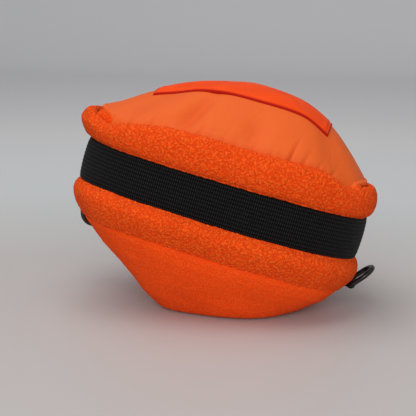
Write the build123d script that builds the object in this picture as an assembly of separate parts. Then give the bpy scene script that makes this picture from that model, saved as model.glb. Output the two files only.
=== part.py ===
from build123d import *
import os

# Hand warmer muff, in millimetres. The muff's own frame has its origin at the middle of the band,
# X from mouth to mouth, Y from the near side to the far side and Z out of the front panel. MUFF then
# leans it to the way it rests on its soft back, with the supporting surface at Z = 0.

# driving dimensions
BODY_LENGTH = 284.0
BODY_DEPTH = 177.0
BAND_WIDTH = 38.0
BAND_THICKNESS = 2.0
STRIP_WIDTH = 32.0
FRONT_RISE = 61.0
BACK_DROP = 74.0
NYLON_THICKNESS = 3.0
FLEECE_THICKNESS = 4.0
TUNNEL_WIDTH = 100.0
TUNNEL_HEIGHT = 42.0
MOUTH_GAP = 24.0
TUNNEL_FLOOR = 10.0
LINING_THICKNESS = 3.0
BINDING_WIDTH = 6.0
BINDING_THICKNESS = 1.5
PIPING = 3.0
GROOVE = 4.5
BACKING = 6.0
RIM_WALL = 18.0
LABEL_LENGTH = 166.0
LABEL_WIDTH = 54.0
LABEL_THICKNESS = 1.2
WIRE = 5.0
RING_WIDTH = 30.0
TAB_WIDTH = 16.0
TAB_THICKNESS = 4.4
TAB_LENGTH = 30.0
PIN_CLEARANCE = 0.06
RING_CORNER = 2.6
LAP_LENGTH = 60.0
LABEL_SHIFT = -3.0
LABEL_NEAR_EDGE = -50.0

# where the bars of the rings lie, in the resting frame, and how rings and tabs are turned about them
LEFT_BAR = Pos(-145, 58, 82.5) * Rot(0, 0, 30)
RIGHT_BAR = Pos(123, 25, 18) * Rot(0, 0, 90)
RIGHT_SWING = -126.9
LEFT_TAB_LEAN = 85.0
RIGHT_TAB_LEAN = -75.0

# the way it rests
ROLL = 15.0
PITCH = -7.0
CENTRE_HEIGHT = 106.0
MUFF = Pos(0, 0, CENTRE_HEIGHT) * Rot(0, ROLL, 0) * Rot(PITCH, 0, 0)

# sizes worked out from the driving dimensions
HALF_LENGTH = BODY_LENGTH / 2
HALF_DEPTH = BODY_DEPTH / 2
BAND_HALF = BAND_WIDTH / 2
RIM = BAND_HALF + STRIP_WIDTH
BAND_OUTER = (HALF_LENGTH - GROOVE, HALF_DEPTH - GROOVE)
BAND_INNER = (BAND_OUTER[0] - BAND_THICKNESS, BAND_OUTER[1] - BAND_THICKNESS)
BACKING_INNER = (BAND_INNER[0] - BACKING, BAND_INNER[1] - BACKING)
UPPER_CORE = (HALF_LENGTH - RIM_WALL, HALF_DEPTH - RIM_WALL + 4)
LOWER_CORE = (UPPER_CORE[0] - 6, UPPER_CORE[1] - 6)
MOUTH_OUTER = UPPER_CORE[0] - LINING_THICKNESS
MOUTH_INNER = MOUTH_OUTER - MOUTH_GAP


def outline(z, half_length, half_depth, shift=0.0):
    """A level section of the muff: a rectangle with broad round corners."""
    return Pos(shift, 0, z) * RectangleRounded(2 * half_length, 2 * half_depth, 0.85 * half_depth)


def block(low, high, half_length, half_depth):
    """A straight-sided solid between two levels."""
    return extrude(outline(low, half_length, half_depth), high - low)


def box_between(low, high):
    """A box given by its lowest and highest corners."""
    size = [b - a for a, b in zip(low, high)]
    middle = [(a + b) / 2 for a, b in zip(low, high)]
    return Pos(*middle) * Box(*size)


def front_form(inset):
    """The domed front, drawn in by inset: a steep shoulder that rolls over to a broad crown."""
    rise = FRONT_RISE - inset
    levels = [(0.0, 129, 82, 0), (0.23, 113, 78, 2), (0.44, 97, 72, 4), (0.64, 78, 62, 5),
              (0.83, 57, 46, 6), (1.0, 24, 18, 8)]
    return loft([outline(RIM + part * rise, a - inset, b - inset, x) for part, a, b, x in levels])


def back_form(inset):
    """The soft back, drawn in by inset: a keel, fuller towards the lower end."""
    drop = BACK_DROP - inset
    levels = [(0.0, 130, 80, 0), (0.16, 116, 75, 4), (0.40, 92, 63, 8), (0.68, 64, 47, 10),
              (1.0, 22, 20, 12)]
    return loft([outline(-RIM - part * drop, a - inset, b - inset, x) for part, a, b, x in levels])


def lower_form():
    """The filled side below the band, which narrows to the seam of the back."""
    return loft([outline(-RIM, 130, 80), outline(-BAND_HALF, HALF_LENGTH - 3, HALF_DEPTH - 2)])


def above(height):
    """Everything over a level of the resting frame, as a big box."""
    return Pos(0, 0, height + 200) * Box(600, 600, 400)


def mouth(side, grow):
    """The upright shaft of one mouth, grown all round."""
    half_width = TUNNEL_WIDTH / 2 + grow
    near, far = sorted((side * (MOUTH_INNER - grow), side * (MOUTH_OUTER + grow)))
    return box_between((near, -half_width, TUNNEL_FLOOR), (far, half_width, RIM + FRONT_RISE))


def tunnel(grow):
    """The hand tunnel: a flat passage with a shaft up to a mouth at each end."""
    half_width = TUNNEL_WIDTH / 2 + grow
    low = (-MOUTH_OUTER - grow, -half_width, TUNNEL_FLOOR - grow)
    high = (MOUTH_OUTER + grow, half_width, TUNNEL_FLOOR + TUNNEL_HEIGHT + grow)
    return box_between(low, high) + mouth(-1, grow) + mouth(1, grow)


def front_openings():
    """What the tunnel and its two mouths take out of the front panel, out to its ends."""
    half_width = TUNNEL_WIDTH / 2 + LINING_THICKNESS
    ends = box_between((-HALF_LENGTH, -half_width, RIM), (HALF_LENGTH, half_width, RIM + FRONT_RISE))
    ends -= box_between((-MOUTH_OUTER, -half_width, RIM), (MOUTH_OUTER, half_width, RIM + FRONT_RISE))
    return tunnel(LINING_THICKNESS) + ends


def front_panel_shell():
    return front_form(0) - front_form(NYLON_THICKNESS) - front_openings()


def front_panel_wadding():
    return front_form(NYLON_THICKNESS) - front_openings()


def tunnel_lining():
    """Fleece tube of the tunnel, flush with the front panel at both mouths."""
    envelope = block(-RIM, RIM, *UPPER_CORE) + front_form(0)
    return (tunnel(LINING_THICKNESS) - tunnel(0)) & envelope


def mouth_binding(side):
    """Elastic edging along the upper lip of one mouth, on the front panel."""
    layer = front_form(-BINDING_THICKNESS) - front_form(0)
    half_width = TUNNEL_WIDTH / 2 + LINING_THICKNESS
    lip = MOUTH_INNER - LINING_THICKNESS
    near, far = sorted((side * (lip - BINDING_WIDTH), side * lip))
    return layer & box_between((near, -half_width, RIM), (far, half_width, RIM + FRONT_RISE))


def label_patch():
    """Plain sewn patch that follows the crown, with its near edge over the shoulder."""
    layer = front_form(-LABEL_THICKNESS) - front_form(0)
    low = (-LABEL_LENGTH / 2 + LABEL_SHIFT, LABEL_NEAR_EDGE, RIM)
    high = (LABEL_LENGTH / 2 + LABEL_SHIFT, LABEL_NEAR_EDGE + LABEL_WIDTH, RIM + FRONT_RISE + 10)
    return layer & box_between(low, high)


def front_seam_piping():
    """Piping that closes the seam between the front panel and the fleece rim."""
    outer = block(RIM, RIM + PIPING, 129 + PIPING, 82 + PIPING)
    return outer - block(RIM, RIM + PIPING, 129, 82)


def upper_fleece_strip():
    return block(BAND_HALF, RIM, HALF_LENGTH, HALF_DEPTH) - block(BAND_HALF, RIM, *UPPER_CORE)


def waist_band():
    """Webbing belt sewn round the whole side, less the stretch of its lapped join."""
    belt = block(-BAND_HALF, BAND_HALF, *BAND_OUTER) - block(-BAND_HALF, BAND_HALF, *BAND_INNER)
    return belt - band_lap_space()


def band_lap_space():
    """The stretch at the middle of the far side where the belt's ends lap."""
    return Pos(0, HALF_DEPTH, 0) * Box(LAP_LENGTH, 4 * GROOVE, BAND_WIDTH)


def band_lap():
    """The lapped and stitched ends of the belt."""
    outer = [half + BAND_THICKNESS / 2 for half in BAND_OUTER]
    lap = block(-BAND_HALF, BAND_HALF, *outer) - block(-BAND_HALF, BAND_HALF, *BAND_INNER)
    return lap & band_lap_space()


def band_backing():
    """The fleece of the side where the belt presses it in."""
    return block(-BAND_HALF, BAND_HALF, *BAND_INNER) - block(-BAND_HALF, BAND_HALF, *BACKING_INNER)


def lower_fleece_strip():
    return lower_form() - block(-RIM, -BAND_HALF, *LOWER_CORE)


def side_wadding():
    """Filling of the side, round and under the tunnel."""
    filling = block(-RIM, -BAND_HALF, *LOWER_CORE) + block(-BAND_HALF, BAND_HALF, *BACKING_INNER)
    return filling + block(BAND_HALF, RIM, *UPPER_CORE) - tunnel(LINING_THICKNESS)


def back_panel_wadding():
    """Filling of the back, flattened where it rests."""
    return (MUFF * back_form(FLEECE_THICKNESS)) & above(FLEECE_THICKNESS)


def back_panel_fleece():
    """Fleece bag of the back, flattened where it rests."""
    return ((MUFF * back_form(0)) & above(0)) - back_panel_wadding()


def ring_solid():
    """A D-ring: straight bar along X through the origin, bow hanging below it."""
    half = (RING_WIDTH - WIRE) / 2
    corners = [(-half, 0, 0), (half, 0, 0), (half, 0, -2 * half), (-half, 0, -2 * half)]
    path = FilletPolyline(*corners, radius=[RING_CORNER, RING_CORNER, half - 0.1, half - 0.1], close=True)
    start = Plane(origin=path @ 0, z_dir=path % 0)
    return sweep(start * Circle(WIRE / 2), path=path)


def tab_solid():
    """A folded webbing tab: bored for the ring's bar along X, and running from it along Z."""
    eye = Cylinder(WIRE / 2 + TAB_THICKNESS / 2, TAB_WIDTH, rotation=(0, 90, 0))
    low = (-TAB_WIDTH / 2, -TAB_THICKNESS / 2, 0)
    strap = box_between(low, (TAB_WIDTH / 2, TAB_THICKNESS / 2, TAB_LENGTH))
    bore = Cylinder(WIRE / 2 + PIN_CLEARANCE, TAB_WIDTH + 2, rotation=(0, 90, 0))
    return eye + strap - bore


def ring_tab(place):
    """A tab at its place, ending at the muff's surface."""
    return (place * tab_solid()) - (MUFF * (lower_form() + back_form(0)))


leaning = {
    "front_panel_shell": front_panel_shell(),
    "front_panel_wadding": front_panel_wadding(),
    "label_patch": label_patch(),
    "front_seam_piping": front_seam_piping(),
    "left_mouth_binding": mouth_binding(-1),
    "right_mouth_binding": mouth_binding(1),
    "tunnel_lining": tunnel_lining(),
    "upper_fleece_strip": upper_fleece_strip(),
    "waist_band": waist_band(),
    "band_lap": band_lap(),
    "band_backing": band_backing(),
    "lower_fleece_strip": lower_fleece_strip(),
    "side_wadding": side_wadding(),
}
parts = {name: MUFF * solid for name, solid in leaning.items()}
parts["back_panel_wadding"] = back_panel_wadding()
parts["back_panel_fleece"] = back_panel_fleece()
parts["left_ring"] = LEFT_BAR * ring_solid()
parts["right_ring"] = RIGHT_BAR * Rot(RIGHT_SWING, 0, 0) * ring_solid()
parts["left_ring_tab"] = ring_tab(LEFT_BAR * Rot(LEFT_TAB_LEAN, 0, 0))
parts["right_ring_tab"] = ring_tab(RIGHT_BAR * Rot(RIGHT_TAB_LEAN, 0, 0))

os.makedirs("parts", exist_ok=True)
for name, solid in parts.items():
    export_step(solid, f"parts/{name}.step")
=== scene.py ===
import math
import bpy
import numpy as np
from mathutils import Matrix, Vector


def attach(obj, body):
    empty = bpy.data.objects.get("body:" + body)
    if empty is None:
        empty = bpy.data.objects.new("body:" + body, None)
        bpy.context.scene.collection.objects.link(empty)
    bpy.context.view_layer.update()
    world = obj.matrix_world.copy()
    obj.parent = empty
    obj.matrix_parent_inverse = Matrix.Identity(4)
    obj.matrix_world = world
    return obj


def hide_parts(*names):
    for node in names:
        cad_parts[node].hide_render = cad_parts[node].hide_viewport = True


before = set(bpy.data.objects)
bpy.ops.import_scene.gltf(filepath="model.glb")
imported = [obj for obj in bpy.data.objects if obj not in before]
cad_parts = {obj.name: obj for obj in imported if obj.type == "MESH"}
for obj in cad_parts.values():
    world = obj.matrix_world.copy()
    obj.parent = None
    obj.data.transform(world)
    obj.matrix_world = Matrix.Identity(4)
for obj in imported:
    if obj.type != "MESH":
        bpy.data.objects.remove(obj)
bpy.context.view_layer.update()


# ---- Fleece side strips ------------------------------------------------------------------------
# The side of the muff is one long strip of curly-pile fleece over wadding. The belt presses a
# groove along its middle, so it shows as a puffy rim above the belt and a narrowing strip below.

# The muff's own frame: X from mouth to mouth, Z out of the front panel, its middle in the middle
# of the belt. It lies leaning on its soft back, lower at the right end.
ROLL = math.radians(15)
PITCH = math.radians(-7)
MIDDLE_HEIGHT = 0.106


def turned(p, q, angle):
    """The pair turned by the angle: p cos - q sin, and p sin + q cos."""
    return p * math.cos(angle) - q * math.sin(angle), p * math.sin(angle) + q * math.cos(angle)


def rest(points):
    """Muff frame to room: turned about X by PITCH, then about Y by ROLL, then lifted to its height."""
    x, y, z = points[..., 0], points[..., 1], points[..., 2]
    y, z = turned(y, z, PITCH)
    z, x = turned(z, x, ROLL)
    return np.stack([x, y, z + MIDDLE_HEIGHT], -1)


# The side line: the outline that the belt follows, a rectangle rounded like a superellipse.
BELT_LENGTH = 0.1375
BELT_DEPTH = 0.084
ROUNDNESS = 2.6


def side_line(angle, half_length, half_depth):
    """x = a sign(cos) |cos|^(2/n) and y = b sign(sin) |sin|^(2/n), with n the roundness."""
    c, s = np.cos(angle), np.sin(angle)
    x = half_length * np.sign(c) * np.abs(c) ** (2 / ROUNDNESS)
    y = half_depth * np.sign(s) * np.abs(s) ** (2 / ROUNDNESS)
    return x, y


def steps_round(count):
    """Angles of points evenly spaced by length round the side line, from the middle of the far side."""
    fine = np.linspace(0, 2 * np.pi, 6001) + np.pi / 2
    x, y = side_line(fine, BELT_LENGTH, BELT_DEPTH)
    walked = np.concatenate([[0], np.cumsum(np.hypot(np.diff(x), np.diff(y)))])
    return np.interp(np.linspace(0, walked[-1], count, endpoint=False), walked, fine), walked[-1]


def lumps(points, size, seed):
    """Smooth random lumps, -1 to 1: lattice values of the given size blended by 3t^2 - 2t^3."""
    table = np.random.default_rng(seed).uniform(-1, 1, (48, 48, 48))
    cell = np.floor(points / size).astype(int)
    t = points / size - cell
    t = t * t * (3 - 2 * t)
    total = np.zeros(points.shape[:-1])
    for corner in np.ndindex(2, 2, 2):
        weight = np.ones(points.shape[:-1])
        index = []
        for axis in range(3):
            weight = weight * (t[..., axis] if corner[axis] else 1 - t[..., axis])
            index.append((cell[..., axis] + corner[axis]) % 48)
        total += weight * table[index[0], index[1], index[2]]
    return total


def spread_normals(rows):
    """Unit normals of a grid of rings: the cross product of its steps round and across."""
    round_step = np.roll(rows, -1, 1) - np.roll(rows, 1, 1)
    across = np.gradient(rows, axis=0)
    normal = np.cross(round_step, across)
    return normal / np.maximum(np.linalg.norm(normal, axis=-1, keepdims=True), 1e-12)


def skin(name, rows, poles=(), wrap=False, uv=None):
    """A closed mesh of rings: neighbours joined by quads, and the ends by poles or to each other."""
    count, size = rows.shape[:2]
    points = rows.reshape(-1, 3)
    ring = np.arange(size)
    after = np.roll(ring, -1)
    last = count if wrap else count - 1
    low = (np.arange(last) * size)[:, None]
    high = (((np.arange(last) + 1) % count) * size)[:, None]
    faces = np.stack([low + ring, low + after, high + after, high + ring], -1).reshape(-1, 4)
    caps = []
    for end, pole in zip((0, count - 1), poles):
        points = np.vstack([points, pole])
        tip = np.full(size, len(points) - 1)
        a, b = (after, ring) if end == 0 else (ring, after)
        caps.append(np.stack([end * size + a, end * size + b, tip], -1))
    wanted = [faces.tolist()] + [cap.tolist() for cap in caps]
    polygons = [face for group in wanted for face in group]
    corner = points[faces]
    centre = points.mean(0)
    facing = np.cross(corner[:, 2] - corner[:, 0], corner[:, 3] - corner[:, 1])
    volume = np.einsum("ij,ij->", corner.mean(1) - centre, facing)
    if volume < 0:
        polygons = [face[::-1] for face in polygons]
    mesh = bpy.data.meshes.new(name)
    mesh.from_pydata(points.tolist(), [], polygons)
    mesh.shade_smooth()
    if uv is not None:
        layer = mesh.uv_layers.new(name="cloth")
        vertex = np.empty(len(mesh.loops), dtype=np.int32)
        mesh.loops.foreach_get("vertex_index", vertex)
        flat = np.vstack([uv.reshape(-1, 2)] + [uv.reshape(-1, 2)[-1:]] * len(caps))
        layer.uv.foreach_set("vector", flat[vertex].astype(np.float32).ravel())
    piece = bpy.data.objects.new(name, mesh)
    bpy.context.collection.objects.link(piece)
    return piece


STEPS = 760
ANGLE, BELT_GIRTH = steps_round(STEPS)
RIGHTWARD = np.cos(ANGLE)
BELT_HALF_WIDTH = 0.0195
PILE_SIZE = 0.0024
PILE_RISE = 0.0005
FLEECE_COLOUR = (1.0, 0.098, 0.007, 1)
# Pit and tip colours of the pile: painted shade in its pits and a painted highlight on its tops.
FLEECE_PIT_SHADE = (0.86, 0.064, 0.004, 1)
FLEECE_TIP_HIGHLIGHT = (1.0, 0.145, 0.018, 1)


def seam_height(angle):
    """Height of the front seam: lower at the ends and corners, with a dip left of the middle."""
    right, near = np.cos(angle), np.abs(np.sin(angle))
    corner = np.exp(-((np.abs(right) - 0.80) / 0.16) ** 2)
    x = BELT_LENGTH * np.sign(right) * np.abs(right) ** (2 / ROUNDNESS)
    low_left = np.exp(-((x + 0.090) / 0.024) ** 2)
    return 0.0528 - 0.0092 * corner - 0.0045 * low_left - 0.0045 * (1 - near) + 0.003 * right * near


def ring_rows(outset, height):
    """Rings of the side: each profile point carried round the side line at its outset and height."""
    x, y = side_line(ANGLE, BELT_LENGTH + outset, BELT_DEPTH + outset)
    return np.stack([x, y, np.broadcast_to(height, x.shape)], -1)


def smooth_profile(points, count):
    """A closed profile through its points, evenly divided: a periodic Catmull-Rom curve."""
    p = np.array(points, float)
    t = np.linspace(0, len(p), count, endpoint=False)
    k = t.astype(int)
    f = (t - k)[:, None]
    a, b, c, d = (p[(k + shift) % len(p)] for shift in (-1, 0, 1, 2))
    square = 2 * a - 5 * b + 4 * c - d
    cube = 3 * b - a - 3 * c + d
    return 0.5 * (2 * b + (c - a) * f + square * f ** 2 + cube * f ** 3)


def raise_pile(rows, size, rise, seed):
    """Stands the curls of the pile out of a fleece: ridges of one noise, broken up by a larger one."""
    normal = spread_normals(rows)
    curls = 1 - 2 * np.abs(lumps(rows, size, seed))
    tufts = lumps(rows, size * 4.3, seed + 1)
    puff = lumps(rows, 0.030, seed + 2)
    height = rise * (0.75 * curls + 0.35 * tufts) + 0.0009 * puff
    return rows + normal * height[..., None]


def curly_pile():
    """Node group of the pile: curls of distorted noise mixed with round tufts. Gives Height, and Tone, which
    follows the height: painted shade in the pits, painted highlight on the tops.
    """
    group = bpy.data.node_groups.new("curly_pile", "ShaderNodeTree")
    group.interface.new_socket("Scale", in_out="INPUT", socket_type="NodeSocketFloat")
    group.interface.new_socket("Height", in_out="OUTPUT", socket_type="NodeSocketFloat")
    group.interface.new_socket("Tone", in_out="OUTPUT", socket_type="NodeSocketFloat")
    nodes, links = group.nodes, group.links
    start, end = nodes.new("NodeGroupInput"), nodes.new("NodeGroupOutput")
    place = nodes.new("ShaderNodeTexCoord")
    curl = nodes.new("ShaderNodeTexNoise")
    curl.inputs["Detail"].default_value = 1.5
    curl.inputs["Roughness"].default_value = 0.55
    curl.inputs["Distortion"].default_value = 2.2
    tuft = nodes.new("ShaderNodeTexVoronoi")
    tuft.feature = "SMOOTH_F1"
    tuft.inputs["Smoothness"].default_value = 0.7
    links.new(place.outputs["Object"], curl.inputs["Vector"])
    links.new(place.outputs["Object"], tuft.inputs["Vector"])
    links.new(start.outputs["Scale"], curl.inputs["Scale"])
    links.new(start.outputs["Scale"], tuft.inputs["Scale"])
    round_top = nodes.new("ShaderNodeMapRange")
    round_top.inputs["From Min"].default_value = 0.65
    round_top.inputs["From Max"].default_value = 0.05
    links.new(tuft.outputs["Distance"], round_top.inputs["Value"])
    mix = nodes.new("ShaderNodeMix")
    mix.inputs["Factor"].default_value = 0.45
    links.new(curl.outputs["Fac"], mix.inputs["A"])
    links.new(round_top.outputs["Result"], mix.inputs["B"])
    spread = nodes.new("ShaderNodeMapRange")
    spread.inputs["From Min"].default_value = 0.34
    spread.inputs["From Max"].default_value = 0.66
    links.new(mix.outputs["Result"], spread.inputs["Value"])
    links.new(mix.outputs["Result"], end.inputs["Height"])
    links.new(spread.outputs["Result"], end.inputs["Tone"])
    return group


CURLY_PILE = curly_pile()


def colour_ramp(nodes, stops):
    """A colour ramp node with the given (place, colour) stops."""
    ramp = nodes.new("ShaderNodeValToRGB")
    while len(ramp.color_ramp.elements) < len(stops):
        ramp.color_ramp.elements.new(0.5)
    for element, (position, colour) in zip(ramp.color_ramp.elements, stops):
        element.position = position
        element.color = colour
    return ramp


def blank_material(name):
    """A new node material, with its nodes, its links and its Principled shader."""
    material = bpy.data.materials.new(name)
    material.use_nodes = True
    tree = material.node_tree
    return material, tree.nodes, tree.links, tree.nodes["Principled BSDF"]


def fleece(name, scale, depth, colours, sheen):
    """Brushed polyester fleece: pile group for bump and for a colour with painted shade in the pits and a
    painted highlight on the curl tops, soft sheen, almost no gloss.
    """
    material, nodes, links, shader = blank_material(name)
    pile = nodes.new("ShaderNodeGroup")
    pile.node_tree = CURLY_PILE
    pile.inputs["Scale"].default_value = scale
    pit_shade, middle, tip = colours
    # Painted shade and highlight: the low pile takes the pit colour and the high pile the tip colour.
    ramp = colour_ramp(nodes, [(0.05, pit_shade), (0.45, middle), (0.95, tip)])
    links.new(pile.outputs["Tone"], ramp.inputs["Fac"])
    patch = nodes.new("ShaderNodeTexNoise")
    patch.inputs["Scale"].default_value = 28
    patch.inputs["Detail"].default_value = 3
    place = nodes.new("ShaderNodeTexCoord")
    links.new(place.outputs["Object"], patch.inputs["Vector"])
    shade = nodes.new("ShaderNodeMix")
    shade.data_type = "RGBA"
    shade.blend_type = "MULTIPLY"
    shade.inputs["Factor"].default_value = 0.30
    tint = colour_ramp(nodes, [(0.3, (0.85, 0.78, 0.72, 1)), (0.6, (1, 1, 1, 1))])
    links.new(patch.outputs["Fac"], tint.inputs["Fac"])
    links.new(ramp.outputs["Color"], shade.inputs["A"])
    links.new(tint.outputs["Color"], shade.inputs["B"])
    links.new(shade.outputs["Result"], shader.inputs["Base Color"])
    bump = nodes.new("ShaderNodeBump")
    bump.inputs["Strength"].default_value = 1.0
    bump.inputs["Distance"].default_value = depth
    links.new(pile.outputs["Height"], bump.inputs["Height"])
    links.new(bump.outputs["Normal"], shader.inputs["Normal"])
    shader.inputs["Roughness"].default_value = 0.95
    shader.inputs["Specular IOR Level"].default_value = 0.08
    shader.inputs["Sheen Weight"].default_value = sheen
    shader.inputs["Sheen Roughness"].default_value = 0.45
    shader.inputs["Sheen Tint"].default_value = (1.0, 0.32, 0.10, 1)
    return material


FLEECE = fleece("orange_fleece", 460, 0.0028, (FLEECE_PIT_SHADE, FLEECE_COLOUR, FLEECE_TIP_HIGHLIGHT), 0.10)

# The rim bulges out at the left end and draws in a little at the right end.
LEFT_BULGE = 0.0080
RIGHT_BULGE = -0.0012
ear = np.abs(RIGHTWARD) ** 4 * np.where(RIGHTWARD < 0, LEFT_BULGE, RIGHT_BULGE)

# Outset from the belt's outer face and share of the height from belt to seam, for the rim: from
# under the belt out round the puffy face, over the lip, down into the seam and back inside.
rim_profile = smooth_profile([
    (-0.0030, 0.00), (-0.0012, 0.05), (0.0020, 0.13), (0.0042, 0.33), (0.0046, 0.58), (0.0028, 0.82),
    (-0.0004, 0.97), (-0.0040, 1.00), (-0.0072, 0.95), (-0.0098, 0.80), (-0.0110, 0.50), (-0.0095, 0.15)], 92)
rim_foot = BELT_HALF_WIDTH
rim_top = seam_height(ANGLE) + 0.0010
rim = np.stack([ring_rows(out + ear * min(1.6 * share, 1), rim_foot + share * (rim_top - rim_foot))
                for out, share in rim_profile])
rim = raise_pile(rim, PILE_SIZE, PILE_RISE, 11)
upper_fleece = skin("upper_fleece", rest(rim), wrap=True)
upper_fleece.data.materials.append(FLEECE)
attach(upper_fleece, "muff")
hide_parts("upper_fleece_strip", "band_backing", "side_wadding")

# The same for the strip below the belt, which draws in towards the left end of the back seam.
BACK_SEAM = -0.0515
strip_profile = smooth_profile([
    (-0.0030, 0.00), (-0.0008, 0.05), (0.0026, 0.15), (0.0046, 0.34), (0.0034, 0.55), (-0.0002, 0.78),
    (-0.0042, 0.95), (-0.0066, 1.005), (-0.0095, 1.00), (-0.0140, 0.80), (-0.0140, 0.45),
    (-0.0110, 0.12)], 84)
strip_top = -BELT_HALF_WIDTH
strip_tuck = np.clip(-RIGHTWARD, 0, 1) ** 3 * -0.0065
strip = np.stack([ring_rows(out + strip_tuck * share, strip_top + share * (BACK_SEAM - strip_top))
                  for out, share in strip_profile])
strip = raise_pile(strip, PILE_SIZE, PILE_RISE, 23)
lower_fleece = skin("lower_fleece", rest(strip), wrap=True)
lower_fleece.data.materials.append(FLEECE)
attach(lower_fleece, "muff")
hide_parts("lower_fleece_strip")


# ---- Belt --------------------------------------------------------------------------------------
# Black ribbed webbing, nominally 38 mm and drawn 39 mm wide, sewn round the side under tension.
# Eleven cords run along it between two plain selvedges, and its weft shows as fine upright ribs.

BELT_THICKNESS = 0.0020
BELT_CORDS = 11
CORD_RISE = 0.00032
WEFT_PITCH = 0.0020


def belt_section(count):
    """Closed section of the belt: a ribbed outer face, |cos| ribs inside the selvedges, flat behind."""
    across = np.linspace(-1, 1, count)
    ribs = np.abs(np.cos(across * BELT_CORDS * np.pi / 2)) * np.clip((0.88 - np.abs(across)) * 12, 0, 1)
    edge = np.clip((1 - np.abs(across)) * 14, 0, 1) ** 0.5
    outset = -0.0008 * (1 - edge) + CORD_RISE * ribs - 0.0010 * across ** 2
    face = np.stack([outset, across * BELT_HALF_WIDTH], -1)
    inner = np.linspace(1, -1, 8)[1:-1]
    behind = np.stack([np.full(len(inner), -BELT_THICKNESS), inner * BELT_HALF_WIDTH * 0.985], -1)
    return np.vstack([face, behind])


section = belt_section(96)
belt_rows = np.stack([ring_rows(out - 0.0002, height) for out, height in section])
wave = lumps(belt_rows, 0.045, 5)
belt_rows = belt_rows + spread_normals(belt_rows) * (0.0007 * wave)[..., None]
belt_uv = np.stack([np.broadcast_to(np.arange(STEPS) * BELT_GIRTH / STEPS, belt_rows.shape[:2]),
                    np.broadcast_to(section[:, 1:2], belt_rows.shape[:2])], -1)


def webbing(name, weft_pitch):
    """Black polyester webbing: upright weft ribs crossed by warp cords, on the piece's own UV. Its colour has
    painted shade between the ribs and a painted highlight on their crests, with random fuzz.
    """
    material, nodes, links, shader = blank_material(name)
    place = nodes.new("ShaderNodeUVMap")
    place.uv_map = "cloth"
    split = nodes.new("ShaderNodeSeparateXYZ")
    links.new(place.outputs["UV"], split.inputs["Vector"])
    ribs = []
    for axis, pitch in (("X", weft_pitch), ("Y", 2 * BELT_HALF_WIDTH / BELT_CORDS)):
        turn = nodes.new("ShaderNodeMath")
        turn.operation = "MULTIPLY"
        turn.inputs[1].default_value = 2 * math.pi / pitch
        links.new(split.outputs[axis], turn.inputs[0])
        wave_node = nodes.new("ShaderNodeMath")
        wave_node.operation = "SINE"
        links.new(turn.outputs["Value"], wave_node.inputs[0])
        ribs.append(wave_node)
    product = nodes.new("ShaderNodeMath")
    product.operation = "MULTIPLY_ADD"
    product.inputs[1].default_value = -0.55
    links.new(ribs[1].outputs["Value"], product.inputs[0])
    links.new(ribs[0].outputs["Value"], product.inputs[2])
    fuzz = nodes.new("ShaderNodeTexNoise")
    fuzz.inputs["Scale"].default_value = 900
    fuzz.inputs["Detail"].default_value = 2
    object_place = nodes.new("ShaderNodeTexCoord")
    links.new(object_place.outputs["Object"], fuzz.inputs["Vector"])
    blend = nodes.new("ShaderNodeMath")
    blend.operation = "MULTIPLY_ADD"
    blend.inputs[1].default_value = 1.6
    links.new(fuzz.outputs["Fac"], blend.inputs[0])
    links.new(product.outputs["Value"], blend.inputs[2])
    # Painted light: the colour follows the rib relief, darker between the ribs and lighter on their crests,
    # plus random fuzz.
    tone = nodes.new("ShaderNodeMapRange")
    tone.inputs["From Min"].default_value = -0.8
    tone.inputs["From Max"].default_value = 2.4
    links.new(blend.outputs["Value"], tone.inputs["Value"])
    ramp = colour_ramp(nodes, [(0.25, (0.0010, 0.0010, 0.0013, 1)), (0.6, (0.0045, 0.0044, 0.0052, 1)),
                               (0.92, (0.027, 0.027, 0.029, 1))])
    links.new(tone.outputs["Result"], ramp.inputs["Fac"])
    links.new(ramp.outputs["Color"], shader.inputs["Base Color"])
    bump = nodes.new("ShaderNodeBump")
    bump.inputs["Distance"].default_value = 0.00060
    links.new(blend.outputs["Value"], bump.inputs["Height"])
    links.new(bump.outputs["Normal"], shader.inputs["Normal"])
    shader.inputs["Roughness"].default_value = 0.62
    shader.inputs["Specular IOR Level"].default_value = 0.12
    return material


WEBBING = webbing("black_webbing", WEFT_PITCH)
belt = skin("belt", rest(belt_rows), wrap=True, uv=belt_uv)
belt.data.materials.append(WEBBING)
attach(belt, "muff")
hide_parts("waist_band")


# ---- Belt lap ----------------------------------------------------------------------------------
# The belt's ends lap on the far side, where a second layer of the same webbing lies on the first,
# sewn down at both ends. The stitches aren't drawn.

LAP_HALF = 0.030
LAP_RISE = 0.0019
from_join = (np.arange(STEPS) * BELT_GIRTH / STEPS + BELT_GIRTH / 2) % BELT_GIRTH - BELT_GIRTH / 2
lap_steps = np.abs(from_join) < LAP_HALF
lap_order = np.roll(np.arange(STEPS), STEPS // 2)
lap_order = lap_order[lap_steps[lap_order]]
lap_inner = belt_rows[:, lap_order]
along_lap = np.linspace(-LAP_HALF, LAP_HALF, len(lap_order))
lap_end = np.clip((LAP_HALF - np.abs(along_lap)) * 900, 0, 1) ** 0.5
farward = np.array([0.0, 1.0, 0.0])
lap_rows = (lap_inner + farward * LAP_RISE * lap_end[None, :, None]).transpose(1, 0, 2)
lap_uv = belt_uv[:, lap_order].transpose(1, 0, 2)
lap_ends = (rest(lap_rows[0].mean(0)), rest(lap_rows[-1].mean(0)))
lap = skin("belt_lap", rest(lap_rows), poles=lap_ends, uv=lap_uv)
lap.data.materials.append(WEBBING)
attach(lap, "muff")
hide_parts("band_lap")


# ---- Back --------------------------------------------------------------------------------------
# The back is a soft bag of finer, shorter fleece over loose wadding, sewn to the side strip in a
# sunk seam. The muff's weight flattens it where it lies.

BACK_COLOUR = (1.0, 0.088, 0.007, 1)
# Pit and tip colours: painted shade in the pile's pits and a painted highlight on its tops.
BACK_PIT_SHADE = (0.92, 0.070, 0.005, 1)
BACK_TIP_HIGHLIGHT = (1.0, 0.112, 0.013, 1)
BACK_FLEECE = fleece("orange_back_fleece", 700, 0.0012, (BACK_PIT_SHADE, BACK_COLOUR, BACK_TIP_HIGHLIGHT), 0.10)

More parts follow.
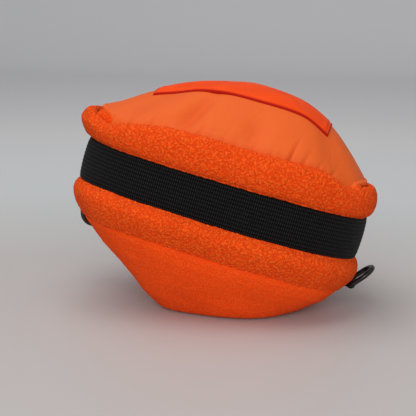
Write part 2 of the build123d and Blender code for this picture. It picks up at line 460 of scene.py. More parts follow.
# Shares of the drop below the back seam, and there the half length, half depth and shift to the right.
BACK_DROP = 0.074
level = [0, 0.06, 0.16, 0.28, 0.40, 0.54, 0.68, 0.84, 1.0]
back_a = [0.1275, 0.1240, 0.1160, 0.1060, 0.0945, 0.0800, 0.0655, 0.0450, 0.0230]
back_b = [0.0795, 0.0795, 0.0765, 0.0710, 0.0640, 0.0560, 0.0465, 0.0335, 0.0200]
back_shift = [0.0025, 0.0035, 0.0055, 0.006, 0.008, 0.009, 0.010, 0.011, 0.012]
drop = np.linspace(0, 1, 116) ** 0.9
belly_a, belly_b, belly_x = (np.interp(drop, level, values) for values in (back_a, back_b, back_shift))
turn_in = np.linspace(0, 1, 12)[:-1]
belly_a = np.concatenate([0.118 + 0.012 * np.sin(turn_in * np.pi / 2), belly_a])
belly_b = np.concatenate([0.068 + 0.0115 * np.sin(turn_in * np.pi / 2), belly_b])
belly_x = np.concatenate([np.full(len(turn_in), back_shift[0]), belly_x])
turned_in_z = BACK_SEAM + 0.003 - 0.0030 * (1 - np.cos(turn_in * np.pi / 2))
belly_z = np.concatenate([turned_in_z, BACK_SEAM - BACK_DROP * drop])
xs, ys = side_line(ANGLE, belly_a[:, None], belly_b[:, None])
belly = np.stack([xs + belly_x[:, None], ys, np.broadcast_to(belly_z[:, None], xs.shape)], -1)
sag = lumps(belly, 0.052, 31) * 0.0028 + lumps(belly, 0.021, 32) * 0.0010
seam_pull = np.clip(np.concatenate([np.zeros(len(turn_in)), drop]) / 0.16, 0, 1)[:, None]
belly = belly + spread_normals(belly) * (-np.abs(sag) * seam_pull)[..., None]
belly = raise_pile(belly, 0.0017, 0.00032, 41)
belly = rest(belly)

# What lies lower than PRESS_START is pressed flat, down to FLOOR_GAP above the floor.
FLOOR_GAP = 0.0004
PRESS_START = 0.0040
press = PRESS_START - FLOOR_GAP
lie = belly[..., 2]
belly[..., 2] = np.where(lie < PRESS_START, FLOOR_GAP + press * np.exp((lie - PRESS_START) / press), lie)
bottom = belly[-1].mean(0)
bottom[2] = FLOOR_GAP
back = skin("back", belly, poles=(belly[0].mean(0), bottom))
back.data.materials.append(BACK_FLEECE)
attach(back, "muff")
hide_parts("back_panel_fleece", "back_panel_wadding")


# ---- Front panel -------------------------------------------------------------------------------
# A dome of tight-woven nylon over wadding, gathered into the front seam with small puckers. Over
# each hand opening its edge is free and set back a little.

CROWN = 0.1080
MIDDLE_X = 0.012
PANEL_LEFT = 0.1480
PANEL_RIGHT = 0.1170
PANEL_DEPTH = 0.0795
MOUTH_HALF = 0.047
MOUTH_INSET = 0.038
NYLON_COLOUR = (0.74, 0.112, 0.014, 1)
# Painted shade for the nylon's folds and creases.
NYLON_FOLD_SHADE = (0.60, 0.062, 0.006, 1)
TURN = np.linspace(0, 2 * np.pi, 540, endpoint=False) + np.pi / 2


def panel_outline(angle):
    """The panel's seam line: a rounded rectangle whose left half is longer than its right half."""
    x, y = side_line(angle, 1.0, PANEL_DEPTH)
    return MIDDLE_X + np.where(x > 0, PANEL_RIGHT, PANEL_LEFT) * x, y


def dome(angle, reach):
    """Height of the panel: seam + (crown - seam)(1 - reach^p), and a low swelling at each mouth's edge."""
    power = 2.20 + 0.24 * np.cos(angle) + 0.20 * np.abs(np.sin(angle)) ** 2
    seam = seam_height(angle) - 0.0015
    lip = np.exp(-((reach - 0.96) / 0.06) ** 2) * np.exp(-(np.sin(angle) / 0.62) ** 8)
    lip_rise = np.where(np.cos(angle) < 0, 0.0030, 0.0010)
    return seam + (CROWN - seam) * (1 - np.clip(reach, 0, 1.2) ** power) + lip_rise * lip


def panel_point(angle, reach):
    """A point of the smooth dome, reach 0 at the crown and 1 at the seam."""
    x, y = panel_outline(angle)
    return np.stack(np.broadcast_arrays(MIDDLE_X + (x - MIDDLE_X) * reach, y * reach, dome(angle, reach)), -1)


seam_x, seam_y = panel_outline(TURN)
seam_length = np.hypot(np.diff(seam_x, append=seam_x[0]), np.diff(seam_y, append=seam_y[0]))
walk = np.concatenate([[0], np.cumsum(seam_length)[:-1]])
over_mouth = 1 / (1 + np.exp((np.abs(seam_y) - MOUTH_HALF) / 0.0022)) * (np.abs(seam_x - MIDDLE_X) > 0.06)
edge_reach = 1 - MOUTH_INSET * over_mouth


def ruffle(places, pitch, seed):
    """Uneven folds along the seam: value noise of the given pitch, sharpened so the dips are narrow."""
    table = np.random.default_rng(seed).uniform(-1, 1, 4096)
    cell = np.floor(places / pitch).astype(int)
    t = places / pitch - cell
    t = t * t * (3 - 2 * t)
    value = table[cell % 4096] * (1 - t) + table[(cell + 1) % 4096] * t
    return value - 0.5 * np.abs(value)


# The deeper puckers of the near (-1) and far (1) seam: place along X, side, width, reach inwards, depth.
PUCKERS = np.array([
    (-0.097, -1, 0.0024, 0.010, 0.0016), (-0.076, -1, 0.0030, 0.014, 0.0016),
    (-0.061, -1, 0.0026, 0.010, 0.0018), (-0.047, -1, 0.0028, 0.012, 0.0014),
    (-0.030, -1, 0.0034, 0.016, 0.0014), (-0.008, -1, 0.0024, 0.010, 0.0020),
    (0.004, -1, 0.0030, 0.014, 0.0014), (0.020, -1, 0.0024, 0.011, 0.0022),
    (0.037, -1, 0.0026, 0.010, 0.0014), (0.054, -1, 0.0024, 0.020, 0.0034),
    (0.067, -1, 0.0034, 0.015, 0.0020), (0.081, -1, 0.0026, 0.010, 0.0018),
    (0.094, -1, 0.0026, 0.012, 0.0018), (-0.085, 1, 0.0028, 0.012, 0.0018),
    (-0.055, 1, 0.0030, 0.014, 0.0018), (-0.021, 1, 0.0026, 0.012, 0.0022),
    (0.012, 1, 0.0030, 0.015, 0.0020), (0.043, 1, 0.0026, 0.011, 0.0022),
    (0.078, 1, 0.0030, 0.014, 0.0020)])


def panel_wave(points, reach):
    """Height of the wadding's broad lumps on the dome, fading to a fifth at the seam."""
    return 0.0012 * lumps(points, 0.026, 8) * np.clip(1.15 - reach, 0.2, 1)


def panel_dents(points, reach):
    """Depth below the smooth dome: broad soft dents, ruffles fading in from the seam, and the puckers."""
    x, y = points[..., 0], points[..., 1]
    inward = (1 - reach) * 0.085
    fold = ruffle(walk, 0.0052, 3) * np.exp(-np.clip(inward, 0, 1) / 0.0040)
    fold = fold + 0.22 * ruffle(walk, 0.0170, 4) * np.exp(-np.clip(inward, 0, 1) / 0.0110)
    depth = -0.00075 * fold
    for place, side, width, length, drop_in in PUCKERS:
        line = np.exp(-((x - place - 0.25 * inward) / (0.75 * width)) ** 2) * (y * side > 0)
        depth = depth + 0.8 * drop_in * line * np.exp(-(inward / (0.55 * length)) ** 2)
    slant = x + 0.040 - 0.55 * (y + 0.062)
    depth = depth + 0.0068 * np.exp(-(slant / 0.0095) ** 2 - ((y + 0.062) / 0.016) ** 2)
    depth = depth + 0.0022 * np.exp(-((x + 0.062) / 0.022) ** 2 - ((y + 0.069) / 0.008) ** 2)
    depth = depth + 0.0036 * np.exp(-((x - 0.018) / 0.010) ** 2 - ((y + 0.068) / 0.011) ** 2)
    depth = depth + 0.0016 * np.exp(-((x - 0.084) / 0.012) ** 2 - ((y + 0.056) / 0.016) ** 2)
    depth = depth - panel_wave(points, reach)
    tuck = np.clip((reach - 0.93) / 0.07, 0, 1) ** 2 * (1 - over_mouth)
    return depth + 0.0042 * tuck


reach_steps = 1 - (1 - np.linspace(0.012, 1, 150)) ** 1.35
top_reach = reach_steps[:, None] * edge_reach[None, :]
top = panel_point(TURN[None, :], top_reach)
facing = spread_normals(top)
facing = facing * np.sign(facing[..., 2:3].mean())
top = top - facing * panel_dents(top, top_reach)[..., None]
roll_turn = np.linspace(0, np.pi, 9)[1:]
thickness = 0.0038
edge_row, edge_facing = top[-1], facing[-1]
outward = np.stack([seam_x - MIDDLE_X, seam_y, 0 * seam_x], -1)
outward = outward / np.linalg.norm(outward, axis=-1, keepdims=True)
rolled = np.stack([
    edge_row - edge_facing * (thickness / 2) * (1 - math.cos(a)) + outward * 0.0020 * math.sin(a)
    for a in roll_turn])
under_reach = np.linspace(1, 0.02, 26)[1:, None] * edge_reach[None, :]
under = panel_point(TURN[None, :], under_reach)
under = under + (rolled[-1] - panel_point(TURN, edge_reach))[None] * np.linspace(1, 0.2, 25)[:, None, None]
under[..., 2] = under[..., 2] - np.linspace(0, 0.006, 25)[:, None]
panel_rows = np.concatenate([top, rolled, under])
from_crown = np.hypot(panel_rows[..., 1], CROWN - panel_rows[..., 2])
panel_uv = np.stack([panel_rows[..., 0], np.sign(panel_rows[..., 1]) * from_crown], -1)
crown_pole = np.array([MIDDLE_X, 0, top[0, :, 2].mean() + 0.0001])
under_pole = under[-1].mean(0)


def woven(name, colour, fold_shade, pitch):
    """Tight plain-woven nylon: crossed threads on the piece's own UV, soft gloss, painted shade in its folds,
    mottled by a cloud noise.
    """
    material, nodes, links, shader = blank_material(name)
    place = nodes.new("ShaderNodeUVMap")
    place.uv_map = "cloth"
    split = nodes.new("ShaderNodeSeparateXYZ")
    links.new(place.outputs["UV"], split.inputs["Vector"])
    threads = []
    for axis in ("X", "Y"):
        turn = nodes.new("ShaderNodeMath")
        turn.operation = "MULTIPLY"
        turn.inputs[1].default_value = 2 * math.pi / pitch
        links.new(split.outputs[axis], turn.inputs[0])
        sine = nodes.new("ShaderNodeMath")
        sine.operation = "SINE"
        links.new(turn.outputs["Value"], sine.inputs[0])
        threads.append(sine)
    weave = nodes.new("ShaderNodeMath")
    weave.operation = "MULTIPLY"
    links.new(threads[0].outputs["Value"], weave.inputs[0])
    links.new(threads[1].outputs["Value"], weave.inputs[1])
    object_place = nodes.new("ShaderNodeTexCoord")
    cloud = nodes.new("ShaderNodeTexNoise")
    cloud.inputs["Scale"].default_value = 45
    cloud.inputs["Detail"].default_value = 5
    cloud.inputs["Roughness"].default_value = 0.6
    links.new(object_place.outputs["Object"], cloud.inputs["Vector"])
    # Painted shade: concave places, found by Pointiness, take the fold shade colour.
    fold = nodes.new("ShaderNodeNewGeometry")
    shade = nodes.new("ShaderNodeMapRange")
    shade.inputs["From Min"].default_value = 0.42
    shade.inputs["From Max"].default_value = 0.52
    links.new(fold.outputs["Pointiness"], shade.inputs["Value"])
    mix = nodes.new("ShaderNodeMath")
    mix.operation = "MULTIPLY_ADD"
    mix.inputs[1].default_value = 0.30
    links.new(cloud.outputs["Fac"], mix.inputs[0])
    links.new(shade.outputs["Result"], mix.inputs[2])
    ramp = colour_ramp(nodes, [(0.25, fold_shade), (1.0, colour)])
    links.new(mix.outputs["Value"], ramp.inputs["Fac"])
    links.new(ramp.outputs["Color"], shader.inputs["Base Color"])
    crease = nodes.new("ShaderNodeTexNoise")
    crease.inputs["Scale"].default_value = 130
    crease.inputs["Detail"].default_value = 3
    crease.inputs["Distortion"].default_value = 0.8
    links.new(object_place.outputs["Object"], crease.inputs["Vector"])
    soft = nodes.new("ShaderNodeBump")
    soft.inputs["Strength"].default_value = 0.5
    soft.inputs["Distance"].default_value = 0.0011
    links.new(crease.outputs["Fac"], soft.inputs["Height"])
    fine = nodes.new("ShaderNodeBump")
    fine.inputs["Strength"].default_value = 0.6
    fine.inputs["Distance"].default_value = 0.00010
    links.new(weave.outputs["Value"], fine.inputs["Height"])
    links.new(soft.outputs["Normal"], fine.inputs["Normal"])
    links.new(fine.outputs["Normal"], shader.inputs["Normal"])
    shader.inputs["Roughness"].default_value = 0.62
    shader.inputs["Specular IOR Level"].default_value = 0.18
    shader.inputs["Sheen Weight"].default_value = 0.03
    shader.inputs["Sheen Roughness"].default_value = 0.35
    shader.inputs["Sheen Tint"].default_value = (1.0, 0.55, 0.35, 1)
    return material


NYLON = woven("orange_nylon", NYLON_COLOUR, NYLON_FOLD_SHADE, 0.0011)
front = skin("front_panel", rest(panel_rows), poles=(rest(crown_pole), rest(under_pole)), uv=panel_uv)
front.data.materials.append(NYLON)
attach(front, "muff")
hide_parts("front_panel_shell", "front_panel_wadding", "front_seam_piping")


# ---- Label patch -------------------------------------------------------------------------------
# A plain satin patch without lettering lies on the near half of the crown, turned under all round
# and sewn with one line of darker thread close to its edge, with painted shade in the thread's
# colour along that edge.

PATCH_LEFT, PATCH_RIGHT = -0.086, 0.080
PATCH_NEAR = -0.043
PATCH_DEPTH = 0.054
PATCH_THICKNESS = 0.0013
SATIN_COLOUR = (0.86, 0.070, 0.004, 1)
# Colour of the stitches, and of the painted shade along the patch's edge.
THREAD_AND_EDGE_SHADE = (0.40, 0.005, 0.0008, 1)


def patch_point(u, v):
    """The smooth dome's point under (u, v) of the patch, whose near edge bows as x squared, and its reach."""
    x = PATCH_LEFT + (PATCH_RIGHT - PATCH_LEFT) * u
    y = PATCH_NEAR + np.where(x > 0.02, 0.020, 0.011) * ((x - 0.020) / 0.1) ** 2 + PATCH_DEPTH * v
    half = np.where(x > MIDDLE_X, PANEL_RIGHT, PANEL_LEFT)
    over, across = np.abs(x - MIDDLE_X) / half, np.abs(y) / PANEL_DEPTH
    reach = (over ** ROUNDNESS + across ** ROUNDNESS) ** (1 / ROUNDNESS)
    c, s = over ** (ROUNDNESS / 2), across ** (ROUNDNESS / 2)
    angle = np.arctan2(np.sign(y) * s, np.sign(x - MIDDLE_X) * c)
    point = np.stack([x, y, dome(angle, reach)], -1)
    return point, reach


u, v = np.meshgrid(np.linspace(0, 1, 300), np.linspace(0, 1, 110), indexing="ij")
patch, patch_reach = patch_point(u, v)
patch_facing = np.cross(np.gradient(patch, axis=0), np.gradient(patch, axis=1))
patch_facing = patch_facing / np.linalg.norm(patch_facing, axis=-1, keepdims=True)
dented = panel_wave(patch, patch_reach)
from_edge = np.minimum(np.minimum(u, 1 - u) * (PATCH_RIGHT - PATCH_LEFT), np.minimum(v, 1 - v) * PATCH_DEPTH)
rise = 0.0004 + PATCH_THICKNESS * np.clip(from_edge / 0.0012, 0, 1) ** 0.5
stitch_line = np.exp(-((from_edge - 0.0030) / 0.0007) ** 2)
rise = rise - 0.0005 * stitch_line + 0.0004 * np.exp(-((from_edge - 0.0055) / 0.0016) ** 2)
over_rows = patch + patch_facing * (dented + rise)[..., None]
below_rows = patch + patch_facing * (dented - 0.0016)[..., None]
sheet_rows = np.concatenate([over_rows, below_rows[:, ::-1]], 1)
patch_uv = np.stack([np.concatenate([u, u], 1) * (PATCH_RIGHT - PATCH_LEFT),
                     np.concatenate([v, v[:, ::-1]], 1) * PATCH_DEPTH], -1)


def satin():
    """Satin patch: fine slanting floats on its UV, a row of darker stitches near the edge, and painted shade
    along the edge itself.
    """
    material, nodes, links, shader = blank_material("label_satin")
    place = nodes.new("ShaderNodeUVMap")
    place.uv_map = "cloth"
    split = nodes.new("ShaderNodeSeparateXYZ")
    links.new(place.outputs["UV"], split.inputs["Vector"])
    inset = []
    for axis, length in (("X", PATCH_RIGHT - PATCH_LEFT), ("Y", PATCH_DEPTH)):
        other = nodes.new("ShaderNodeMath")
        other.operation = "SUBTRACT"
        other.inputs[0].default_value = length
        links.new(split.outputs[axis], other.inputs[1])
        nearest = nodes.new("ShaderNodeMath")
        nearest.operation = "MINIMUM"
        links.new(split.outputs[axis], nearest.inputs[0])
        links.new(other.outputs["Value"], nearest.inputs[1])
        inset.append(nearest)
    border = nodes.new("ShaderNodeMath")
    border.operation = "MINIMUM"
    links.new(inset[0].outputs["Value"], border.inputs[0])
    links.new(inset[1].outputs["Value"], border.inputs[1])
    row = nodes.new("ShaderNodeMath")
    row.operation = "COMPARE"
    row.inputs[1].default_value = 0.0030
    row.inputs[2].default_value = 0.00045
    links.new(border.outputs["Value"], row.inputs[0])
    total = nodes.new("ShaderNodeMath")
    total.operation = "ADD"
    links.new(split.outputs["X"], total.inputs[0])
    links.new(split.outputs["Y"], total.inputs[1])
    beat = nodes.new("ShaderNodeMath")
    beat.operation = "MULTIPLY"
    beat.inputs[1].default_value = 2 * math.pi / 0.0030
    links.new(total.outputs["Value"], beat.inputs[0])
    wave_node = nodes.new("ShaderNodeMath")
    wave_node.operation = "SINE"
    links.new(beat.outputs["Value"], wave_node.inputs[0])
    gate = nodes.new("ShaderNodeMapRange")
    gate.inputs["From Min"].default_value = -0.55
    gate.inputs["From Max"].default_value = -0.35
    gate.inputs["To Max"].default_value = 0.35
    links.new(wave_node.outputs["Value"], gate.inputs["Value"])
    stitch = nodes.new("ShaderNodeMath")
    stitch.operation = "MULTIPLY"
    links.new(row.outputs["Value"], stitch.inputs[0])
    links.new(gate.outputs["Result"], stitch.inputs[1])
    # Painted shade along the patch's turned edge, in the thread's colour.
    rim_shade = nodes.new("ShaderNodeMapRange")
    rim_shade.inputs["From Min"].default_value = 0.0009
    rim_shade.inputs["From Max"].default_value = 0.0024
    rim_shade.inputs["To Min"].default_value = 1.0
    rim_shade.inputs["To Max"].default_value = 0.0
    links.new(border.outputs["Value"], rim_shade.inputs["Value"])
    stitch_and_edge_shade = nodes.new("ShaderNodeMath")
    stitch_and_edge_shade.operation = "MAXIMUM"
    links.new(stitch.outputs["Value"], stitch_and_edge_shade.inputs[0])
    links.new(rim_shade.outputs["Result"], stitch_and_edge_shade.inputs[1])
    float_turn = nodes.new("ShaderNodeMath")
    float_turn.operation = "MULTIPLY"
    float_turn.inputs[1].default_value = 2 * math.pi / 0.0007
    links.new(total.outputs["Value"], float_turn.inputs[0])
    floats = nodes.new("ShaderNodeMath")
    floats.operation = "SINE"
    links.new(float_turn.outputs["Value"], floats.inputs[0])
    cloud = nodes.new("ShaderNodeTexNoise")
    cloud.inputs["Scale"].default_value = 60
    object_place = nodes.new("ShaderNodeTexCoord")
    links.new(object_place.outputs["Object"], cloud.inputs["Vector"])
    ground = colour_ramp(nodes, [(0.3, (0.80, 0.058, 0.003, 1)), (0.7, SATIN_COLOUR)])
    links.new(cloud.outputs["Fac"], ground.inputs["Fac"])
    mix = nodes.new("ShaderNodeMix")
    mix.data_type = "RGBA"
    mix.inputs["B"].default_value = THREAD_AND_EDGE_SHADE
    links.new(stitch_and_edge_shade.outputs["Value"], mix.inputs["Factor"])
    links.new(ground.outputs["Color"], mix.inputs["A"])
    links.new(mix.outputs["Result"], shader.inputs["Base Color"])
    bump = nodes.new("ShaderNodeBump")
    bump.inputs["Strength"].default_value = 0.4
    bump.inputs["Distance"].default_value = 0.00008
    links.new(floats.outputs["Value"], bump.inputs["Height"])
    links.new(bump.outputs["Normal"], shader.inputs["Normal"])
    shader.inputs["Roughness"].default_value = 0.55
    shader.inputs["Specular IOR Level"].default_value = 0.08
    return material


patch_ends = (rest(sheet_rows[0].mean(0)), rest(sheet_rows[-1].mean(0)))
label = skin("label", rest(sheet_rows), poles=patch_ends, uv=patch_uv)
label.data.materials.append(satin())
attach(label, "muff")
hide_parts("label_patch")


# ---- Tunnel lining and mouth edges -------------------------------------------------------------
# The hands meet in a tube of fleece that runs from end to end. Its lower lip is sewn to the fleece
# rim and its upper lip to the panel's free edge, which a narrow elastic strip gathers.

run = np.linspace(-1, 1, 220)
# How far in from the mouths: 0 at a mouth's edge and 1 past its lips.
deep = np.clip((1 - np.abs(run)) / 0.24, 0, 1)
deep = deep * deep * (3 - 2 * deep)
tube_x = run * np.where(run < 0, 0.1300, 0.1235)
ceiling = 0.0495 + 0.0015 * deep
floor_z = 0.0400 - 0.0290 * deep
tube_half = 0.0460 + 0.003 * deep
lean = np.sign(run) * (1 - deep) * 0.0025
around = np.linspace(0, 2 * np.pi, 260, endpoint=False)


def tube_rows(thicker):
    """The tube's rings: a superellipse between floor and ceiling, its top set back at the ends."""
    c, s = np.cos(around), np.sin(around)
    wide = np.sign(c) * np.abs(c) ** 0.75
    tall = np.sign(s) * np.abs(s) ** 0.75
    half_height = (ceiling - floor_z) / 2 + thicker
    middle = (ceiling + floor_z) / 2
    x = tube_x[:, None] - lean[:, None] * tall[None, :]
    y = (tube_half[:, None] + thicker) * wide[None, :]
    z = middle[:, None] + half_height[:, None] * tall[None, :]
    return np.stack(np.broadcast_arrays(x, y, z), -1)


inside = tube_rows(0.0)
inside_facing = spread_normals(inside)
inward_sign = -np.sign((inside_facing * (inside - inside.mean(1, keepdims=True))).sum())
curls = 1 - 2 * np.abs(lumps(inside, 0.0030, 51))
inside = inside + inside_facing * inward_sign * (0.0006 * curls + 0.0012 * lumps(inside, 0.03, 52))[..., None]
outside = tube_rows(0.0016)[::-4]
lining = skin("tunnel_lining_fleece", rest(np.concatenate([inside, outside])), wrap=True)
lining.data.materials.append(FLEECE)
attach(lining, "muff")
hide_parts("tunnel_lining")


def mouth_edge(name, side, node):
    """Elastic strip wrapped on the panel's free edge: an oval carried along the edge, with gathers."""
    half = MOUTH_HALF * 0.99
    want = np.linspace(-half, half, 240)
    on_side = (seam_x - MIDDLE_X) * side > 0.05
    order = np.argsort(seam_y[on_side])
    edge = panel_point(TURN, edge_reach)[on_side][order]
    path = np.stack([np.interp(want, edge[:, 1], edge[:, k]) for k in range(3)], -1)
    path[:, 2] -= 0.0028
    along_path = np.gradient(path, axis=0)
    along_path = along_path / np.linalg.norm(along_path, axis=-1, keepdims=True)
    up = np.array([0.45 * side, 0, 0.9])
    across = np.cross(along_path, up)
    across = across / np.linalg.norm(across, axis=-1, keepdims=True)
    up = np.cross(across, along_path)
    ring = np.linspace(0, 2 * np.pi, 28, endpoint=False)
    gather = 1 + 0.10 * np.sin(want * 2 * np.pi / 0.0042) + 0.12 * ruffle(want + 1, 0.006, 9)
    close = np.clip((half - np.abs(want)) / 0.002, 0.2, 1) ** 0.5
    flat = 0.0026 * gather * close
    tall = 0.0030 * gather * close
    rows = (path[:, None] + across[:, None] * (flat[:, None] * np.cos(ring))[..., None]
            + up[:, None] * (tall[:, None] * np.sin(ring))[..., None])
    uv = np.stack(np.broadcast_arrays(want[:, None], (ring * 0.0016)[None, :]), -1)
    strip_mesh = skin(name, rest(rows), poles=(rest(path[0]), rest(path[-1])), uv=uv)
    strip_mesh.data.materials.append(NYLON)
    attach(strip_mesh, "muff")
    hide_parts(node)


mouth_edge("left_mouth_edge", -1, "left_mouth_binding")
mouth_edge("right_mouth_edge", 1, "right_mouth_binding")


# ---- Ring tabs ---------------------------------------------------------------------------------
# A short length of black webbing is folded round the bar of each ring, sewn shut just past it and
# caught in the back seam at each end of the muff. The stitches and the hollow eye aren't drawn.

TAB_HALF_WIDTH = 0.008
TAB_PLY = 0.0019
BAR_RADIUS = 0.0025
BAR_GAP = 0.00015


def ring_tab(name, node, bar, bar_turn, tab_lean, length):
    """A strip folded round the bar: a filled bulb narrowing to two plies, carried along the bar."""
    outer = BAR_RADIUS + BAR_GAP + TAB_PLY
    neck = np.linspace(0.0062, length, 40)
    pinch = 0.0021 + 0.0022 * np.exp(-((neck - 0.0040) / 0.0030) ** 2)
    left_ply = np.stack([-pinch, neck], -1)
    right_ply = np.stack([pinch, neck], -1)[::-1]
    sweep_turn = np.linspace(np.pi * 0.80, np.pi * 2.20, 48)
    bulb = np.stack([outer * np.cos(sweep_turn), outer * np.sin(sweep_turn)], -1)
    outline = np.vstack([bulb, right_ply[::-1], left_ply[::-1]])
    width = np.concatenate([[-1, -0.98], np.linspace(-0.94, 0.94, 44), [0.98, 1]])
    rib = 1 + 0.05 * np.abs(np.sin(width * np.pi * 4))
    rim_in = np.where(np.abs(width) > 0.99, 0.80, 1.0) * rib
    x = np.broadcast_to(width[:, None] * TAB_HALF_WIDTH, (len(width), len(outline)))
    y = outline[None, :, 0] * rim_in[:, None]
    z = np.broadcast_to(outline[None, :, 1], x.shape)
    y, z = turned(y, z, math.radians(tab_lean))
    x, y = turned(x, y, math.radians(bar_turn))
    rows = np.stack([x, y, z], -1) + np.array(bar)
    walked = np.concatenate([[0], np.cumsum(np.hypot(*np.diff(outline, axis=0).T))])
    uv = np.stack(np.broadcast_arrays(walked[None, :], (width * TAB_HALF_WIDTH)[:, None]), -1)
    tab = skin(name, rows, poles=(rows[0].mean(0), rows[-1].mean(0)), uv=uv)
    tab.data.materials.append(WEBBING)
    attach(tab, "muff")
    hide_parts(node)


ring_tab("left_tab", "left_ring_tab", (-0.145, 0.058, 0.0825), 30, 85, 0.026)
ring_tab("right_tab", "right_ring_tab", (0.123, 0.025, 0.018), 90, -75, 0.024)


# ---- D-rings -----------------------------------------------------------------------------------
# Two glossy black D-rings, taken to be moulded plastic. They keep the shape that moves in the
# joints, so only their finish is set here: faint orange-peel, and gloss clouded by handling.


def black_coat():
    """Glossy black coat: faint orange-peel bump, and roughness clouded by handling."""
    material, nodes, links, shader = blank_material("black_ring_coat")
    place = nodes.new("ShaderNodeTexCoord")
    peel = nodes.new("ShaderNodeTexNoise")
    peel.inputs["Scale"].default_value = 700
    peel.inputs["Detail"].default_value = 2
    links.new(place.outputs["Object"], peel.inputs["Vector"])
    bump = nodes.new("ShaderNodeBump")
    bump.inputs["Strength"].default_value = 0.25
    bump.inputs["Distance"].default_value = 0.0002
    links.new(peel.outputs["Fac"], bump.inputs["Height"])
    links.new(bump.outputs["Normal"], shader.inputs["Normal"])
    cloud = nodes.new("ShaderNodeTexNoise")
    cloud.inputs["Scale"].default_value = 140
    cloud.inputs["Detail"].default_value = 4
    links.new(place.outputs["Object"], cloud.inputs["Vector"])
    rough = nodes.new("ShaderNodeMapRange")
    rough.inputs["To Min"].default_value = 0.18
    rough.inputs["To Max"].default_value = 0.42
    links.new(cloud.outputs["Fac"], rough.inputs["Value"])
    links.new(rough.outputs["Result"], shader.inputs["Roughness"])
    ramp = colour_ramp(nodes, [(0.3, (0.0035, 0.0035, 0.004, 1)), (0.75, (0.012, 0.012, 0.013, 1))])
    links.new(cloud.outputs["Fac"], ramp.inputs["Fac"])
    links.new(ramp.outputs["Color"], shader.inputs["Base Color"])
    return material


COAT = black_coat()
for ring_name in ("left_ring", "right_ring"):
    ring_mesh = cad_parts[ring_name].data
    ring_mesh.materials.clear()
    ring_mesh.materials.append(COAT)


# ---- Floor, light and camera -------------------------------------------------------------------
# A pale sweep of smooth board with a painted light falloff, under a soft overhead lamp, a soft front lamp
# and an even room light.

corner_turn = np.linspace(0, np.pi / 2, 24)
SWEEP_REACH = 7.0
BEND_START = 2.2
BEND_RADIUS = 0.6
bend_y = BEND_START + BEND_RADIUS * np.sin(corner_turn[1:])
bend_z = BEND_RADIUS * (1 - np.cos(corner_turn[1:]))
sweep_y = np.concatenate([
    np.linspace(-SWEEP_REACH, BEND_START, 40), bend_y, np.full(12, BEND_START + BEND_RADIUS)])
sweep_z = np.concatenate([np.zeros(40), bend_z, np.linspace(0.8, 5.0, 12)])
sweep_x = np.linspace(-SWEEP_REACH, SWEEP_REACH, 8)
columns = len(sweep_x)
grid = np.stack(np.broadcast_arrays(sweep_x[None, :], sweep_y[:, None], sweep_z[:, None]), -1)
cells = (np.arange(len(sweep_y) - 1)[:, None] * columns + np.arange(columns - 1)).ravel()
board_faces = np.stack([cells, cells + 1, cells + columns + 1, cells + columns], -1)
board_mesh = bpy.data.meshes.new("board")
board_mesh.from_pydata(grid.reshape(-1, 3).tolist(), [], board_faces.tolist())
board_mesh.shade_smooth()
board = bpy.data.objects.new("board", board_mesh)
bpy.context.collection.objects.link(board)
board_paint, board_nodes, board_links, board_shader = blank_material("board_paint")
board_place = board_nodes.new("ShaderNodeTexCoord")
board_axes = board_nodes.new("ShaderNodeSeparateXYZ")
board_links.new(board_place.outputs["Object"], board_axes.inputs["Vector"])
board_height = board_nodes.new("ShaderNodeMath")
board_height.operation = "MULTIPLY_ADD"
board_height.inputs[1].default_value = 1.0
board_links.new(board_axes.outputs["Z"], board_height.inputs[0])
board_links.new(board_axes.outputs["Y"], board_height.inputs[2])
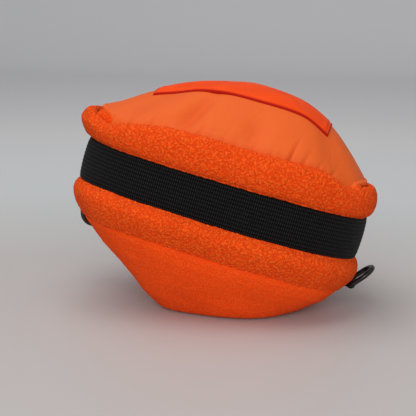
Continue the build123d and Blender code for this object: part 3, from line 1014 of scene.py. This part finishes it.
# Painted light falloff: the board is darker and warmer in front of and under the muff, lighter back along the
# floor and up the sweep.
board_painted_falloff = colour_ramp(board_nodes, [(0.10, (0.50, 0.470, 0.455, 1)), (0.50, (0.64, 0.66, 0.66, 1)),
                                       (1.0, (0.76, 0.75, 0.745, 1))])
board_links.new(board_height.outputs["Value"], board_painted_falloff.inputs["Fac"])
board_links.new(board_painted_falloff.outputs["Color"], board_shader.inputs["Base Color"])
board_shader.inputs["Roughness"].default_value = 0.48
board_shader.inputs["Specular IOR Level"].default_value = 0.35
board_mesh.materials.append(board_paint)


def soft_light(name, place, aim, size, power, colour):
    """An area light at a place, turned to its aim."""
    data = bpy.data.lights.new(name, "AREA")
    data.shape = "RECTANGLE"
    data.size, data.size_y = size
    data.energy = power
    data.color = colour
    lamp = bpy.data.objects.new(name, data)
    lamp.location = place
    lamp.rotation_euler = (Vector(aim) - Vector(place)).to_track_quat("-Z", "Y").to_euler()
    lamp.visible_camera = False
    bpy.context.collection.objects.link(lamp)


soft_light("overhead", (-0.25, -0.15, 1.5), (0, 0, 0.08), (1.3, 1.1), 11.5, (1.0, 0.985, 0.965))
soft_light("front_fill", (0.3, -1.9, 0.78), (0, 0, 0.05), (1.6, 0.8), 20.5, (1.0, 0.98, 0.96))
world = bpy.data.worlds.new("soft_room")
world.use_nodes = True
world.node_tree.nodes["Background"].inputs["Color"].default_value = (0.92, 0.95, 1.0, 1)
world.node_tree.nodes["Background"].inputs["Strength"].default_value = 0.45
bpy.context.scene.world = world
bpy.context.scene.view_settings.view_transform = "Standard"

VIEW_TURN = math.radians(10.01)
VIEW_RISE = math.radians(12.65)
VIEW_DISTANCE = 1.0072
AIM_LEFT = 0.0147
AIM_DOWN = 0.0129
right_way = np.array([math.cos(VIEW_TURN), math.sin(VIEW_TURN), 0])
forward_way = np.array([-math.sin(VIEW_TURN) * math.cos(VIEW_RISE), math.cos(VIEW_TURN) * math.cos(VIEW_RISE),
                        -math.sin(VIEW_RISE)])
up_way = np.cross(right_way, forward_way)
aim_point = np.array([0, 0, MIDDLE_HEIGHT]) - AIM_LEFT * right_way - AIM_DOWN * up_way
eye_point = aim_point - forward_way * VIEW_DISTANCE
camera_data = bpy.data.cameras.new("camera")
camera_data.lens = 90.95
camera_data.sensor_width = 36
camera = bpy.data.objects.new("camera", camera_data)
camera.location = eye_point.tolist()
camera.rotation_euler = (math.pi / 2 - VIEW_RISE, 0, VIEW_TURN)
bpy.context.collection.objects.link(camera)
bpy.context.scene.camera = camera
